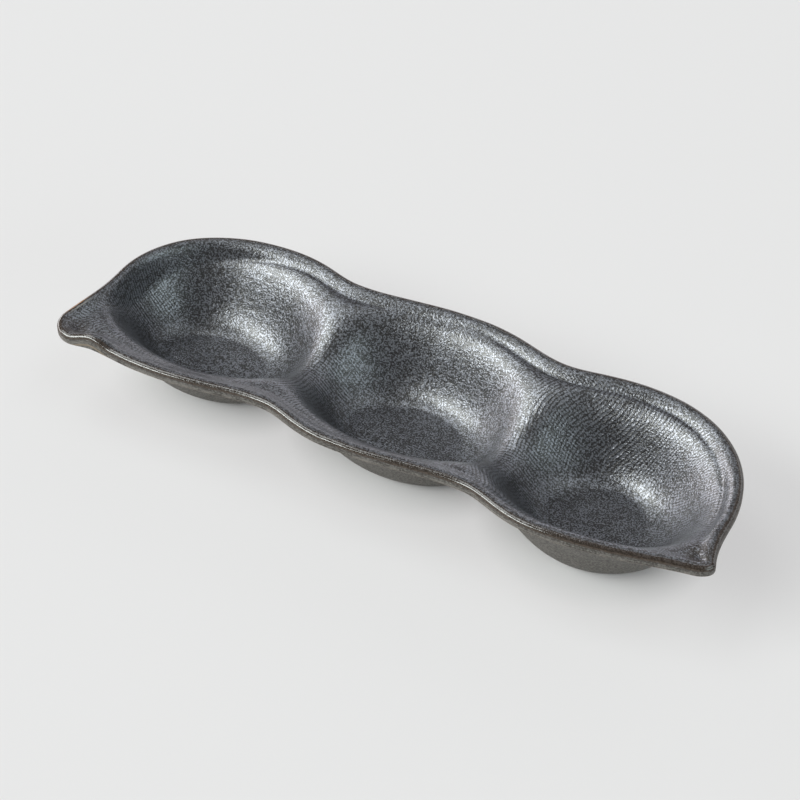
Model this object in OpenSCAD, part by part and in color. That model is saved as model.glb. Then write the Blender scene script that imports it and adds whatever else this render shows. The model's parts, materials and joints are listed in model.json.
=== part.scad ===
// Pea-pod dish with three wells, pressed from one slab of stoneware, footed and glazed.
// The pod lies along X with its stem at -X, its far side is +Y, and it stands on the plane z = 0.

/* [Wells] */
// distance between the centres of neighbouring wells
pitch = 85.5; // [83:0.5:88]
// shift of the outer wells towards the tip
end_shift = 0.7; // [0:0.1:1.5]
// shift of the middle well towards the tip
middle_shift = 2.7; // [0:0.1:4]
// shift of the tip well towards the near side
tip_well_drop = 3; // [0:0.25:4]
// half length of the level floor of the stem well
stem_floor_long = 20.6; // [19:0.1:23]
// half width of the level floor of the stem well
stem_floor_wide = 12.1; // [11:0.1:14]
// half length of the level floor of the middle well
middle_floor_long = 21.5; // [20:0.1:24]
// half width of the level floor of the middle well
middle_floor_wide = 15.6; // [13:0.1:17]
// half length of the level floor of the tip well
tip_floor_long = 16.6; // [15:0.1:19]
// half width of the level floor of the tip well
tip_floor_wide = 16.8; // [14:0.1:18]
// height of the glazed floors above the table
floor_height = 6.1; // [5:0.1:8]
// distance from a well centre to the top of its wall on the far side
far_reach = 39.75; // [38:0.25:41]
// distance from a well centre to the top of its wall on the near side
near_reach = 36; // [34:0.25:38]
// distance over which a well wall would climb to full height along the pod
saddle_reach = 56.5; // [53:0.5:60]
// distance from the first well centre to the top of its wall at the stem
stem_reach = 51; // [48:0.5:53]
// distance from the last well centre to the top of its wall at the tip
tip_reach = 51.5; // [48:0.5:54]
// softness of a wall at its foot
foot_ease = 1.7; // [1.5:0.05:2.1]
// softness of a wall at its top
top_ease = 1.6; // [1.3:0.05:2]
// rounding of the saddles, as a share of the wall height
saddle_blend = 0.4; // [0.2:0.02:0.5]

/* [Outline] */
// distance from the middle line to the crest of a lobe on the far side
lobe_reach = 44.4; // [43:0.2:46]
// distance from the middle line to a waist between two lobes on the far side
waist_reach = 38.9; // [38:0.1:41]
// distance from the middle line to the crest of a lobe on the near side
near_lobe_reach = 43.1; // [42:0.1:45]
// distance from the middle line to a waist between two lobes on the near side
near_waist_reach = 37.3; // [36:0.1:39]
// how far the middle lobe stands over to the far side
bow = 1; // [0:0.1:2.5]
// shift of the stem lobe's crest on the far side, along the pod
far_lean_stem = 14; // [6:0.5:15]
// shift of the middle lobe's crest on the far side, along the pod
far_lean_middle = 12.5; // [4:0.5:14]
// shift of the tip lobe's crest on the far side, along the pod
far_lean_tip = 0.5; // [-4:0.5:4]
// shift of the stem lobe's crest on the near side, along the pod
near_lean_stem = -8.7; // [-12:0.1:-5]
// shift of the middle lobe's crest on the near side, along the pod
near_lean_middle = -11.3; // [-13:0.1:-5]
// shift of the tip lobe's crest on the near side, along the pod
near_lean_tip = -8.9; // [-11:0.1:-4]
// shift of the first far waist from midway between the wells
far_waist_stem = 0.5; // [-2:0.5:6]
// shift of the second far waist from midway between the wells
far_waist_tip = 6.25; // [2:0.25:9]
// shift of both near waists from midway between the wells
near_waist = 2; // [-2:0.25:5]
// roundness of the lobes, as a share of the distance to the next waist
crest_fullness = 0.46; // [0.4:0.01:0.55]
// roundness of the waists, as a share of the distance to the next lobe
waist_fullness = 0.29; // [0.22:0.01:0.4]
// roundness of the two shoulders on the far side
shoulder_fullness = 0.58; // [0.5:0.01:0.62]

/* [Stem end] */
// distance from the middle well to the end of the stem
stem_length = 133.9; // [132:0.1:136]
// distance from the middle line to the near edge of the stem
stem_drop = 43.4; // [42.6:0.1:44.5]
// size of the round at the end of the stem
stem_round = 10.8; // [9:0.2:12]
// heading of the stem's edge where its round ends, in degrees
stem_heading = 82; // [76:1:88]
// distance from the middle well to the neck beside the stem
neck_length = 129.3; // [127:0.2:131]
// distance from the middle line to the neck, towards the near side
neck_drop = 1; // [-2:0.5:6]
// distance from the middle well to the pinch in the near edge beside the stem
pinch_length = 113.5; // [112:0.5:115]
// distance from the middle line to the pinch
pinch_drop = 41.9; // [41:0.1:42.6]

/* [Tip end] */
// distance from the middle well to the end of the pod tip
tip_length = 141.7; // [140:0.1:144]
// distance from the middle line to the near edge of the pod tip
tip_drop = 32.1; // [31:0.1:34]
// size of the round at the pod tip
tip_round = 6.5; // [5:0.5:8]
// heading of the tip's edge where its round begins, in degrees
tip_heading = -67; // [-82:1:-62]
// distance from the middle well to the bulge above the pod tip
bulge_length = 138.1; // [137:0.1:140]
// distance from the middle line to the bulge, towards the near side
bulge_drop = 4; // [0:0.5:9]

/* [Rim] */
// height of the rim above the table, away from the swell
rim_height = 36; // [33:0.5:40]
// rounding of the lip's upper edge
lip_radius = 1.6; // [1.2:0.1:1.9]
// height of the lip's upright face between its two rounds
lip_face = 1.9; // [1.2:0.1:2.6]
// rounding of the lip's lower edge
lip_under = 1; // [0.8:0.1:1.4]
// distance from the edge of the lip over which its top is level
lip_flat = 2.5; // [2:0.1:3.5]
// distance from the edge of the lip to the ledge inside it
ledge_width = 7.8; // [6.5:0.1:8.5]
// height of the lip above the ledge
ledge_drop = 2.2; // [1.2:0.1:3]
// rise of the lip where it swells beside the stem, on the near side
stem_swell = 2.2; // [0:0.1:3]
// distance from the middle well to the middle of the swell
swell_length = 114.6; // [112:0.2:117]
// half length of the swell
swell_half = 10.4; // [8:0.2:12]

/* [Body] */
// thickness of the well walls, measured level
wall = 3; // [2.5:0.25:4]
// thickness of the flange under the ledge, coats and all
flange = 3.6; // [3:0.2:4.4]
// thickness of a coat of glaze
glaze = 0.4; // [0.3:0.05:0.6]
// shift of the bases against the floors, towards the stem
base_shift = 2; // [0:0.1:3]
// half length of the base under the stem well
stem_base_long = 23.3; // [22:0.1:25]
// half width of the base under the stem well
stem_base_wide = 14.7; // [13.5:0.1:17]
// half length of the base under the middle well
middle_base_long = 26; // [24.5:0.1:28]
// half width of the base under the middle well
middle_base_wide = 16; // [15:0.1:18]
// half length of the base under the tip well
tip_base_long = 21.8; // [20:0.1:24]
// half width of the base under the tip well
tip_base_wide = 18.7; // [17:0.1:20]

/* [Feet] */
// height of a foot ring
foot_height = 1.2; // [1:0.1:1.8]
// width of a foot ring
foot_width = 3.5; // [2.5:0.25:5]
// bare strip wiped round each foot ring
glaze_wipe = 0.3; // [0.2:0.05:0.6]

/* [Hidden] */
arc = 0.5523;
half = pitch / 2;
land = rim_height - ledge_drop;
lip_thickness = lip_radius + lip_face + lip_under;
wells = [[end_shift - pitch, 0], [middle_shift, 0], [end_shift + pitch, -tip_well_drop]];
bases = [for (w = wells) w - [base_shift, 0]];
floor_a = [stem_floor_long, middle_floor_long, tip_floor_long];
floor_b = [stem_floor_wide, middle_floor_wide, tip_floor_wide];
base_a = [stem_base_long, middle_base_long, tip_base_long];
base_b = [stem_base_wide, middle_base_wide, tip_base_wide];
reach_minus = [stem_reach, saddle_reach, saddle_reach];
reach_plus = [saddle_reach, saddle_reach, tip_reach];
// an end wall grows with its thickness, and a saddle doesn't
ends_minus = [1, 0, 0];
ends_plus = [0, 0, 1];

// The outline runs from the stem along the far side to the tip and back along the near side.
// A node holds its place, its heading, and the lengths of its handles before and after it.
fx = [-pitch + far_lean_stem, far_lean_middle, pitch + far_lean_tip];
fw = [-half + far_waist_stem, half + far_waist_tip];
nx = [-pitch + near_lean_stem, near_lean_middle, pitch + near_lean_tip];
nw = [-half + near_waist, half + near_waist];
far_dip = waist_reach + bow * 2 / 3;
near_dip = -near_waist_reach + bow * 2 / 3;
cf = crest_fullness;
wf = waist_fullness;
rim_nodes = [
    [[-stem_length, stem_round - stem_drop], stem_heading, stem_round * arc, 13],
    [[-neck_length, -neck_drop], 90, 15, (lobe_reach + neck_drop) * shoulder_fullness],
    [[fx[0], lobe_reach], 0, (fx[0] + neck_length) * shoulder_fullness, (fw[0] - fx[0]) * cf],
    [[fw[0], far_dip], 0, (fw[0] - fx[0]) * wf, (fx[1] - fw[0]) * wf],
    [[fx[1], lobe_reach + bow], 0, (fx[1] - fw[0]) * cf, (fw[1] - fx[1]) * cf],
    [[fw[1], far_dip], 0, (fw[1] - fx[1]) * wf, (fx[2] - fw[1]) * wf],
    [[fx[2], lobe_reach], 0, (fx[2] - fw[1]) * cf, (bulge_length - fx[2]) * shoulder_fullness],
    [[bulge_length, -bulge_drop], -88, (lobe_reach + bulge_drop) * shoulder_fullness, 8],
    [[tip_length, tip_round - tip_drop], tip_heading, 8, tip_round * arc],
    [[tip_length - tip_round, -tip_drop], 190, tip_round * arc, 12],
    [[nx[2], -near_lobe_reach], 180, 23, (nx[2] - nw[1]) * cf],
    [[nw[1], near_dip], 180, (nx[2] - nw[1]) * wf, (nw[1] - nx[1]) * wf],
    [[nx[1], bow - near_lobe_reach], 180, (nw[1] - nx[1]) * cf, (nx[1] - nw[0]) * cf],
    [[nw[0], near_dip], 180, (nx[1] - nw[0]) * wf, (nw[0] - nx[0]) * wf],
    [[nx[0], -near_lobe_reach], 180, (nw[0] - nx[0]) * cf, 6],
    [[-pinch_length, -pinch_drop], 178, 5, 4],
    [[stem_round - stem_length, -stem_drop], 188, 4, stem_round * arc],
];
// steps along each span, so that both long sides have as many and the rounds at the ends have four
span_steps = [5, 10, 4, 6, 5, 4, 9, 3, 4, 10, 5, 9, 5, 9, 4, 4, 4];

function heading(a) = [cos(a), sin(a)];
function curve(a, b, t) =
    let (
        p = a[0] + a[3] * heading(a[1]),
        q = b[0] - b[2] * heading(b[1]),
        s = 1 - t
    )
    s * s * s * a[0] + 3 * s * s * t * p + 3 * s * t * t * q + t * t * t * b[0];
function turned(v) = [v[1], -v[0]];
function unit(v) = v / norm(v);
function sum(v, k = 0) = k < len(v) ? v[k] + sum(v, k + 1) : 0;

raw_rim = [
    for (k = [0:len(rim_nodes) - 1])
        for (i = [0:span_steps[k] - 1])
            curve(rim_nodes[k], rim_nodes[(k + 1) % len(rim_nodes)], i / span_steps[k])
];
cols = len(raw_rim);
// the first column starts in the middle of the stem's round, the one half way along in the tip's
rim = [for (j = [0:cols - 1]) raw_rim[(j + cols - 2) % cols]];
inward = [for (j = [0:cols - 1]) unit(turned(rim[(j + 1) % cols] - rim[(j + cols - 1) % cols]))];
rim_x = [for (p = rim) p[0]];
rim_y = [for (p = rim) p[1]];
centring = -[min(rim_x) + max(rim_x), min(rim_y) + max(rim_y)] / 2;

// Columns from the rim end on the middle line, between the centres of the outer wells.
// They gather at the well centres and spread over the saddles, and those at the ends fan out of one point.
function gathered(x) = x - 0.85 * pitch / 360 * 180 / PI * sin(360 * x / pitch);
function pair(k) = (rim[k][0] + rim[(cols - k) % cols][0]) / 2;
function middle_y(x) = -tip_well_drop * pow(min(1, max(0, x / pitch)), 2);
pairs = [for (k = [0:cols / 2]) pair(k)];
fan_stem = len([for (x = pairs) if (x < -pitch + 2) x]) - 1;
fan_tip = cols / 2 + 1 - len([for (x = pairs) if (x > pitch - 2) x]);
middle = [
    for (k = [fan_stem:fan_tip])
        let (x = k == fan_stem ? -pitch : k == fan_tip ? pitch : gathered(pairs[k]))
        [x, middle_y(x)]
];
function side_step(j) = j % cols <= cols / 2 ? j % cols : cols - j % cols;
function middle_step(j) = min(fan_tip, max(fan_stem, side_step(j))) - fan_stem;
function mid(j) = middle[middle_step(j)];

// Way up the wall of a well, 0 at the edge of its floor or base and 1 or more at the land.
function oval(c, s, a, b) = 1 / sqrt(c * c / a / a + s * s / b / b);
function way(k, p, under) =
    let (
        d = p - (under ? bases : wells)[k],
        r = norm(d),
        c = r > 0.001 ? d[0] / r : 1,
        s = r > 0.001 ? d[1] / r : 0,
        back = d[0] < 0,
        grow = under ? wall : 0,
        long = (back ? reach_minus : reach_plus)[k] + grow * (back ? ends_minus : ends_plus)[k],
        wide = (d[1] < 0 ? near_reach : far_reach) + grow,
        low = oval(c, s, (under ? base_a : floor_a)[k], (under ? base_b : floor_b)[k])
    )
    (r - low) / (oval(c, s, long, wide) - low);
// lower of two ways, rounded off where they are close
function soft_min(a, b) =
    let (h = max(0, saddle_blend - abs(a - b)) / saddle_blend)
    min(a, b) - h * h * saddle_blend / 4;
// height of the walls, 0 at the floor and 1 at the land, soft over the saddles
function wall_share(p, under) =
    let (
        way = soft_min(soft_min(way(0, p, under), way(1, p, under)), way(2, p, under)),
        t = min(1, max(0, way)),
        rise = pow(t, foot_ease),
        rest = pow(1 - t, top_ease)
    )
    rise / (rise + rest);

// Rows of the top face: the lip, the slope inside it, the wall down to the floor's edge, and the floor.
function start(j, inset) = rim[j] + inward[j] * inset;
function run(j, inset) = mid(j) - start(j, inset);
function square(j, inset) = max(0.5, inward[j] * unit(run(j, inset)));
function near_well(j) = mid(j)[0] < -half ? 0 : mid(j)[0] > half ? 2 : 1;
function crossing(j, inset, under) =
    let (
        k = near_well(j),
        a = (under ? base_a : floor_a)[k],
        b = (under ? base_b : floor_b)[k],
        d = run(j, inset),
        o = start(j, inset) - (under ? bases : wells)[k],
        u = d[0] * d[0] / a / a + d[1] * d[1] / b / b,
        v = o[0] * d[0] / a / a + o[1] * d[1] / b / b,
        w = o[0] * o[0] / a / a + o[1] * o[1] / b / b - 1,
        e = v * v - u * w
    )
    e < 0 ? 0.88 : min(0.88, (-v - sqrt(e)) / u);
function bead(d) = d < lip_flat ? 1 : d > ledge_width ? 0 :
    (1 + cos(180 * (d - lip_flat) / (ledge_width - lip_flat))) / 2;
// rise of the lip beside the stem, on the near side only
function swell(j) =
    let (u = (rim[j][0] + swell_length) / swell_half)
    rim[j][1] > 0 || abs(u) > 1 ? 0 : stem_swell * (1 + cos(180 * u)) / 2;
function top_point(j, q, drop) =
    let (
        p = start(j, lip_radius) + run(j, lip_radius) * q,
        d = lip_radius + q * norm(run(j, lip_radius)) * square(j, lip_radius),
        w = wall_share(p, false)
    )
    [p[0], p[1], floor_height + (land - floor_height) * w + (ledge_drop + swell(j)) * bead(d) - drop];
function top_share(j, i) =
    let (
        length = norm(run(j, lip_radius)) * square(j, lip_radius),
        flat = (lip_flat - lip_radius) / length,
        ledge = (ledge_width - lip_radius) / length,
        edge = crossing(j, lip_radius, false)
    )
    i < 4 ? [0, flat, (flat + ledge) / 2, ledge][i] :
    i < 10 ? ledge + (edge - ledge) * [0.14, 0.32, 0.5, 0.68, 0.86, 1][i - 4] :
    (1 + edge) / 2;
function lip_point(j, r, a, inset, rise) =
    let (p = start(j, inset + r * (1 - cos(a))))
    [p[0], p[1], rim_height - lip_radius + r * sin(a) + rise];

// A row is one closed loop of points. Rows 0 to 12 of the top run from the lip's edge inwards.
function top_row(i, coat) = [
    for (j = [0:cols - 1])
        i < 2 ? lip_point(j, lip_radius - coat, 45 * i, coat, swell(j)) : top_point(j, top_share(j, i - 2), coat)
];
function top_middle(coat) = [
    for (m = middle)
        [m[0], m[1], floor_height + (land - floor_height) * wall_share(m, false) - coat]
];

// Rows of the underside: the lip's face and lower round, the slope to the flange, the walls, the bases.
lip_lift = rim_height - lip_thickness - land + flange;
function taper(d) = d > ledge_width ? 0 :
    lip_lift * (1 + cos(180 * (d - lip_under) / (ledge_width - lip_under))) / 2;
function under_z(p, lift) =
    let (base = foot_height - glaze)
    base + (land - flange - base) * wall_share(p, true) + lift;
function under_length(j) = norm(run(j, lip_under)) * square(j, lip_under);
function under_share(j, i) =
    let (
        ledge = (ledge_width - lip_under) / under_length(j),
        edge = crossing(j, lip_under, true)
    )
    i < 2 ? ledge * [0.5, 1][i] :
    i < 7 ? ledge + (edge - ledge) * [0.2, 0.42, 0.64, 0.84, 1][i - 2] :
    (1 + edge) / 2;
function under_point(j, i, lift) =
    let (
        q = under_share(j, i),
        p = start(j, lip_under) + run(j, lip_under) * q
    )
    [p[0], p[1], under_z(p, lift) + taper(lip_under + q * under_length(j))];
function under_row(i, coat) = [
    for (j = [0:cols - 1])
        i == 0 ? lip_point(j, 0, 0, coat, swell(j)) :
        i < 4 ? lip_point(j, lip_under - coat, 45 - 45 * i, coat, -lip_face) :
        under_point(j, i - 4, coat)
];
function under_middle(coat) = [for (m = middle) [m[0], m[1], under_z(m, coat)]];

// Triangles between two rows; the slant of the diagonals is given so that touching faces match.
function strip(a, b, slant) = [
    for (j = [0:cols - 1])
        let (p = a[j], q = a[(j + 1) % cols], r = b[(j + 1) % cols], s = b[j])
        for (t = slant ? [[p, r, q], [p, s, r]] : [[p, s, q], [q, s, r]])
            if (t[0] != t[1] && t[1] != t[2] && t[2] != t[0]) t
];
function row_index(i) = [for (j = [0:cols - 1]) i * cols + j];
function middle_index(first) = [for (j = [0:cols - 1]) first + middle_step(j)];

// Solid skinned over a run of rows and closed along the middle line at both ends.
module skinned(rows, first, last, turn, slant) {
    n = len(rows);
    m = len(first);
    between = [for (i = [0:n - 1]) row_index(i)];
    loops = concat([middle_index(n * cols)], between, [middle_index(n * cols + m)]);
    polyhedron(
        points = concat([for (r = rows) each r], first, last),
        faces = [for (i = [0:n]) each strip(loops[i], loops[i + 1], i < turn ? slant : !slant)]
    );
}

// Band skinned over a run of rows that closes on itself.
module banded(rows, turn, slant) {
    n = len(rows);
    polyhedron(
        points = [for (r = rows) each r],
        faces = [
            for (i = [0:n - 1])
                each strip(row_index(i), row_index((i + 1) % n), i < turn ? slant : !slant)
        ]
    );
}

module oval_plate(a, b) {
    steps = 96;
    polygon([for (i = [0:steps - 1]) [a * cos(360 * i / steps), b * sin(360 * i / steps)]]);
}

module foot_ring(k) {
    a = base_a[k] - glaze_wipe;
    b = base_b[k] - glaze_wipe;
    translate([bases[k][0] + centring[0], bases[k][1] + centring[1], 0])
        linear_extrude(foot_height)
            difference() {
                oval_plate(a, b);
                oval_plate(a - foot_width, b - foot_width);
            }
}

// Pressed slab: flange, walls, floors and saddles in one piece.
module clay_tray() {
    color([0.66, 0.57, 0.46])
        translate([centring[0], centring[1], 0])
            skinned(
                concat(
                    [for (i = [12:-1:0]) top_row(i, glaze)],
                    [for (i = [1:11]) under_row(i, glaze)]
                ),
                top_middle(glaze),
                under_middle(glaze),
                99,
                true
            );
}

// Dark speckled coat over the wells, the land and the lip, down to the middle of the lip's edge.
module inner_glaze() {
    color([0.2, 0.21, 0.24])
        translate([centring[0], centring[1], 0])
            skinned(
                concat(
                    [for (i = [12:-1:0]) top_row(i, 0)],
                    [for (i = [0:12]) top_row(i, glaze)]
                ),
                top_middle(0),
                top_middle(glaze),
                14,
                true
            );
}

// Thin matt coat from the lip's edge over the flange and the walls to the edge of the bases.
module outer_glaze() {
    color([0.44, 0.42, 0.38])
        translate([centring[0], centring[1], 0])
            banded(
                concat(
                    [for (i = [0:10]) under_row(i, 0)],
                    [for (i = [10:-1:0]) under_row(i, glaze)]
                ),
                11,
                true
            );
}

// Bare ring under the first well.
module foot_ring_stem() {
    color([0.8, 0.71, 0.57]) foot_ring(0);
}

// Bare ring under the middle well.
module foot_ring_middle() {
    color([0.8, 0.71, 0.57]) foot_ring(1);
}

// Bare ring under the last well.
module foot_ring_tip() {
    color([0.8, 0.71, 0.57]) foot_ring(2);
}

clay_tray();
inner_glaze();
outer_glaze();
foot_ring_stem();
foot_ring_middle();
foot_ring_tip();
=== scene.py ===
"""Looks of a pea-pod dish with three wells: speckled glaze inside, matt glaze outside, bare feet.

Every surface follows the formulas of the part's solids, on a finer grid and in the same frame.
Sizes are in millimetres up to the point where a mesh is made, and meshes are in metres.
"""

import json
import logging
import math
from collections.abc import Mapping, Sequence
from dataclasses import dataclass
from enum import Enum
from typing import Any

import bpy
import numpy as np
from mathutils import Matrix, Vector

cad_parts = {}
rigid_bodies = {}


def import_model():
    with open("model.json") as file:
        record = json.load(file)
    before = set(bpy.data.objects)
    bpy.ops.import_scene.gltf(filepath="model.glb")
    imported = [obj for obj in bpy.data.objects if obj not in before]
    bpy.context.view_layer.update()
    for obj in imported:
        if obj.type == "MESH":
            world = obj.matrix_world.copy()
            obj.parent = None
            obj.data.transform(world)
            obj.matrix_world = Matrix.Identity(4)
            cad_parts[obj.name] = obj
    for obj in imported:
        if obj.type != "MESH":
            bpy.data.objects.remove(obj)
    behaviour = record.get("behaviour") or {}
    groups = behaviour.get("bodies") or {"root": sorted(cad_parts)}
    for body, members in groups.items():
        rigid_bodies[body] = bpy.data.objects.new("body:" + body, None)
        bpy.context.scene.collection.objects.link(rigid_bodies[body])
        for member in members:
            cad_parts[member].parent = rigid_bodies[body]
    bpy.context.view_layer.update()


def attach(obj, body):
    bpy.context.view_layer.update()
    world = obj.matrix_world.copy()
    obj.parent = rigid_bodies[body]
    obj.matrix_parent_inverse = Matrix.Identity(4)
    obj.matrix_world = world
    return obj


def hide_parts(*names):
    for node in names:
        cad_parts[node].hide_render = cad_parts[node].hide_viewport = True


MM = 0.001  # metres in a millimetre
TINY = 0.001  # places closer than this are the same
BODY = "root"
THREAD_MAP = "threads"
LOG = logging.getLogger("pod_dish")

Array = np.ndarray
Pair = tuple[float, float]
Three = tuple[float, float, float]
Stripe = tuple[float, float, float, float]
Colour = Three


class Slot(Enum):
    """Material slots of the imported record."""

    STONEWARE = "stoneware"
    DARK_GLAZE = "dark_glaze"
    MATT_GLAZE = "matt_glaze"
    BARE_CLAY = "bare_clay"


# Curves


def ramp(value: Array, start: float, end: float) -> Array:
    """Straight ramp, 0 up to start and 1 from end on."""
    return np.clip((value - start) / (end - start), 0, 1)


def half_wave(t: Array) -> Array:
    """Half a cosine wave to either side: 1 at 0, and 0 from 1 and -1 on."""
    return (1 + np.cos(math.pi * np.clip(t, -1, 1))) / 2


def oval_radius(c: Array, s: Array, a: Array | float, b: Array | float) -> Array:
    """Radius of the oval with half sizes a and b in the direction (c, s)."""
    return 1 / np.sqrt((c / a) ** 2 + (s / b) ** 2)


def steps(count: int, closed: bool = False) -> Array:
    """Even steps from 0 towards 1, one a row, with 1 as one step more where they are closed."""
    return np.linspace(0, 1, count + closed, endpoint=closed)[:, None]


@dataclass(frozen=True)
class Bell:
    """The bell curve height * exp(-t^2), where t is the distance from its centre over its width."""

    height: float
    centre: float
    width: float

    def at(self, value: Array) -> Array:
        """Height of the curve at each value."""
        return self.height * np.exp(-(((value - self.centre) / self.width) ** 2))


# Shape


@dataclass(frozen=True)
class Knot:
    """A place on the outline, the way the edge runs there and the pull of the curve to either side.

    Lengths are in millimetres, and the heading is in degrees.
    """

    x: float
    y: float
    heading: float
    before: float
    after: float


@dataclass(frozen=True)
class Outline:
    """The edge of the pod in plan: a closed chain of cubic curves through a few knots.

    It runs from the stem along the far side to the tip, and back along the near side.
    """

    pitch: float = 85.5
    lobe_reach: float = 44.4
    waist_reach: float = 38.9
    near_lobe_reach: float = 43.1
    near_waist_reach: float = 37.3
    bow: float = 1.0
    far_lean: Three = (14.0, 12.5, 0.5)
    near_lean: Three = (-8.7, -11.3, -8.9)
    far_waist: Pair = (0.5, 6.25)
    near_waist: Pair = (2.0, 2.0)
    crest_fullness: float = 0.46
    waist_fullness: float = 0.29
    shoulder_fullness: float = 0.58
    stem_length: float = 133.9
    stem_drop: float = 43.4
    stem_round: float = 10.8
    stem_heading: float = 82.0
    stem_pull: float = 13.0
    neck_length: float = 129.3
    neck_drop: float = 1.0
    neck_pull: float = 15.0
    tip_length: float = 141.7
    tip_drop: float = 32.1
    tip_round: float = 6.5
    tip_heading: float = -67.0
    bulge_length: float = 138.1
    bulge_drop: float = 4.0
    bulge_heading: float = -88.0
    bulge_pull: float = 8.0
    tip_under_heading: float = 190.0
    tip_under_pull: float = 12.0
    near_end_pulls: Pair = (23.0, 6.0)
    pinch_length: float = 113.5
    pinch_drop: float = 41.9
    pinch_heading: float = 178.0
    pinch_pulls: Pair = (5.0, 4.0)
    stem_under_heading: float = 188.0
    stem_under_pull: float = 4.0
    quarter_pull: float = 0.5523
    steps_per_curve: int = 80
    curves_to_tip: int = 9

    def lobed_side(self, x: Array, y: Array, heading: float, ends: Pair) -> list[Knot]:
        """Knots of a long side: lobes and waists by turns, with shares of the gaps as pulls.

        Args:
            x: Places along the pod of lobe, waist, lobe, waist and lobe, as the chain passes them.
            y: Their places across the pod.
            heading: The way the edge runs at all of them.
            ends: Pull before the first lobe and after the last.

        Returns:
            The five knots.
        """
        full = np.resize([self.crest_fullness, self.waist_fullness], len(x))
        gaps = np.abs(np.diff(x))
        before, after = [ends[0], *(gaps * full[1:])], [*(gaps * full[:-1]), ends[1]]
        return [Knot(*knot) for knot in zip(x, y, [heading] * len(x), before, after)]

    def knots(self) -> list[Knot]:
        """Place the knots from the driving sizes.

        Returns:
            The knots in order, starting where the round of the stem ends.
        """
        lobes = np.array([-self.pitch, 0.0, self.pitch])
        ahead, across, back = 0.0, 90.0, 180.0
        far, near = np.empty((2, 2 * len(lobes) - 1))
        far[::2], far[1::2] = lobes + self.far_lean, lobes[::2] / 2 + self.far_waist
        near[::2], near[1::2] = lobes + self.near_lean, lobes[::2] / 2 + self.near_waist
        bow = self.bow * np.array([0, 2 / 3, 1, 2 / 3, 0])
        far_y = np.resize([self.lobe_reach, self.waist_reach], len(far)) + bow
        near_y = bow - np.resize([self.near_lobe_reach, self.near_waist_reach], len(near))
        full, reach = self.shoulder_fullness, self.lobe_reach
        far_ends = ((far[0] + self.neck_length) * full, (self.bulge_length - far[-1]) * full)
        neck_rise, bulge_fall = (reach + self.neck_drop) * full, (reach + self.bulge_drop) * full
        stem_x, stem_y, stem_r = -self.stem_length, -self.stem_drop, self.stem_round
        tip_x, tip_y, tip_r = self.tip_length, -self.tip_drop, self.tip_round
        stem_turn, tip_turn = stem_r * self.quarter_pull, tip_r * self.quarter_pull
        under_stem = (self.stem_under_heading, self.stem_under_pull, stem_turn)
        under_tip = (self.tip_under_heading, tip_turn, self.tip_under_pull)
        bulge = (self.bulge_heading, bulge_fall, self.bulge_pull)
        return [
            Knot(stem_x, stem_y + stem_r, self.stem_heading, stem_turn, self.stem_pull),
            Knot(-self.neck_length, -self.neck_drop, across, self.neck_pull, neck_rise),
            *self.lobed_side(far, far_y, ahead, far_ends),
            Knot(self.bulge_length, -self.bulge_drop, *bulge),
            Knot(tip_x, tip_y + tip_r, self.tip_heading, self.bulge_pull, tip_turn),
            Knot(tip_x - tip_r, tip_y, *under_tip),
            *self.lobed_side(near[::-1], near_y[::-1], back, self.near_end_pulls),
            Knot(-self.pinch_length, -self.pinch_drop, self.pinch_heading, *self.pinch_pulls),
            Knot(stem_x + stem_r, stem_y, *under_stem),
        ]

    def curve(self) -> Array:
        """Follow the whole chain closely.

        Each stretch is the cubic curve s^3 A + 3 s^2 t P + 3 s t^2 Q + t^3 B, with s = 1 - t, where
        P and Q lie on the headings at its ends A and B. The chain starts half way round the stem.

        Returns:
            Points of shape (stretches * steps, 2).
        """
        knots = self.knots()
        a = np.array([(k.x, k.y) for k in knots])[:, None]
        angles = np.radians([k.heading for k in knots])
        ways = np.stack([np.cos(angles), np.sin(angles)], axis=1)[:, None]
        p = a + ways * np.array([k.after for k in knots])[:, None, None]
        arriving = a - ways * np.array([k.before for k in knots])[:, None, None]
        b, q = np.roll(a, -1, axis=0), np.roll(arriving, -1, axis=0)
        t = steps(self.steps_per_curve)[None]
        s = 1 - t
        chain = s**3 * a + 3 * s**2 * t * p + 3 * s * t**2 * q + t**3 * b
        return np.roll(chain.reshape(-1, 2), self.steps_per_curve // 2, axis=0)

    def columns(self, count: int) -> tuple[Array, Array]:
        """Space points evenly along each long side of the pod, from the stem to the tip.

        Args:
            count: Number of points all round, an even number.

        Returns:
            The points and the unit directions that point inwards, both of shape (count, 2).
        """
        chain = self.curve()
        tip = self.steps_per_curve * self.curves_to_tip
        spaced = []
        for side in (chain[: tip + 1], np.concatenate([chain[tip:], chain[:1]])):
            along = np.concatenate([[0.0], np.cumsum(np.hypot(*np.diff(side, axis=0).T))])
            wanted = np.linspace(0, along[-1], count // 2 + 1)[:-1]
            spaced.append(np.stack([np.interp(wanted, along, axis) for axis in side.T], axis=1))
        rim = np.concatenate(spaced)
        step = np.roll(rim, -1, axis=0) - np.roll(rim, 1, axis=0)
        inward = np.stack([step[:, 1], -step[:, 0]], axis=1)
        return rim, inward / np.linalg.norm(inward, axis=1, keepdims=True)


class Face(Enum):
    """The two faces of the pressed form."""

    TOP = "floors and walls"
    UNDER = "bases and outsides of the walls"


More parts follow.
